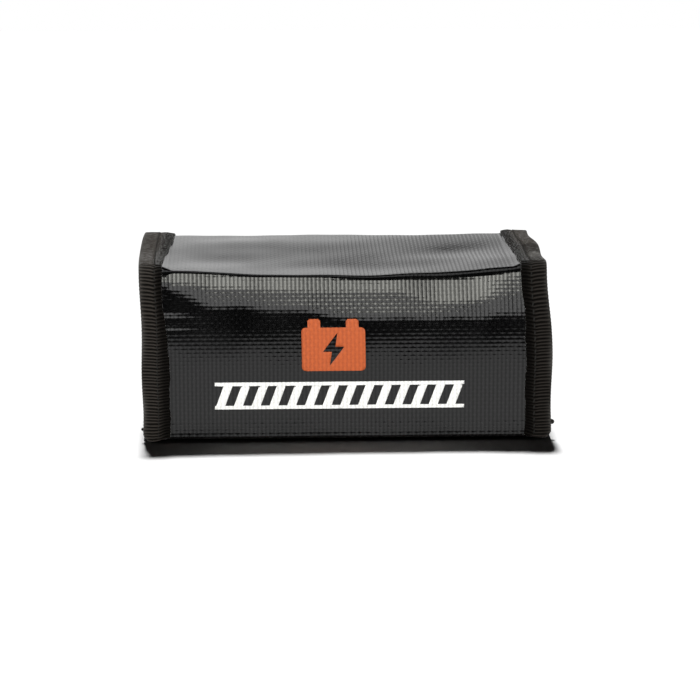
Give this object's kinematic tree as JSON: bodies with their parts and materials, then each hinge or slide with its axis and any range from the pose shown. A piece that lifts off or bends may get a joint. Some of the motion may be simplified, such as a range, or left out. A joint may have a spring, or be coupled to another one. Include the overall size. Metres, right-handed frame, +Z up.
{
  "type": "lipo safe bag",
  "caption": "Fire-resistant soft box for lithium batteries, with tape-bound end seams and a lid whose front flap closes with hook and loop.",
  "frame": {"origin": "on the surface that the bag stands on, under the middle of its box", "axes": "+X along the bag to its right end, +Y from the front flap to the back, +Z up"},
  "size_m": [0.16, 0.075, 0.068],
  "materials": {
    "cloth": "black coated glass cloth in a coarse plain weave, with a satin gloss",
    "tape": "black ribbed binding tape, matt, ribs across its width",
    "felt": "off-white needled fire-resistant felt",
    "lining": "grey coated glass cloth, semi-matt",
    "hook_and_loop": "black hook and loop tape, matt and fuzzy",
    "thread": "black sewing thread, slight sheen",
    "orange_print": "orange screen print, following the weave",
    "white_print": "white screen print, following the weave"
  },
  "bodies": {
    "body": {"back_wall_felt": "felt", "bottom_felt": "felt", "front_mouth_binding": "tape", "front_mouth_seam_thread": "thread", "front_wall_felt": "felt", "left_body_binding": "tape", "left_body_seam_thread": "thread", "left_end_felt": "felt", "left_end_lining": "lining", "left_end_panel": "cloth", "left_mouth_binding": "tape", "left_mouth_seam_thread": "thread", "loop_strip": "hook_and_loop", "loop_strip_seam_thread": "thread", "right_body_binding": "tape", "right_body_seam_thread": "thread", "right_end_felt": "felt", "right_end_lining": "lining", "right_end_panel": "cloth", "right_mouth_binding": "tape", "right_mouth_seam_thread": "thread", "wrap_lining": "lining", "wrap_panel": "cloth"},
    "lid": {"left_lid_binding": "tape", "left_lid_seam_thread": "thread", "lid_felt": "felt", "lid_lining": "lining", "lid_panel": "cloth", "right_lid_binding": "tape", "right_lid_seam_thread": "thread"},
    "front_flap": {"battery_emblem_print": "orange_print", "flap_felt": "felt", "flap_lining": "lining", "flap_panel": "cloth", "hook_strip": "hook_and_loop", "hook_strip_seam_thread": "thread", "left_flap_binding": "tape", "left_flap_seam_thread": "thread", "right_flap_binding": "tape", "right_flap_seam_thread": "thread", "slanted_band_print": "white_print"}
  },
  "joints": [
    {"name": "lid_hinge", "type": "hinge", "parent": "body", "child": "lid", "pos_m": [0, 0.0375, 0.068], "axis": [-1, 0, 0], "range_deg": [0, 175]},
    {"name": "flap_hinge", "type": "hinge", "parent": "lid", "child": "front_flap", "pos_m": [0, -0.0375, 0.068], "axis": [-1, 0, 0], "range_deg": [0, 175]}
  ]
}
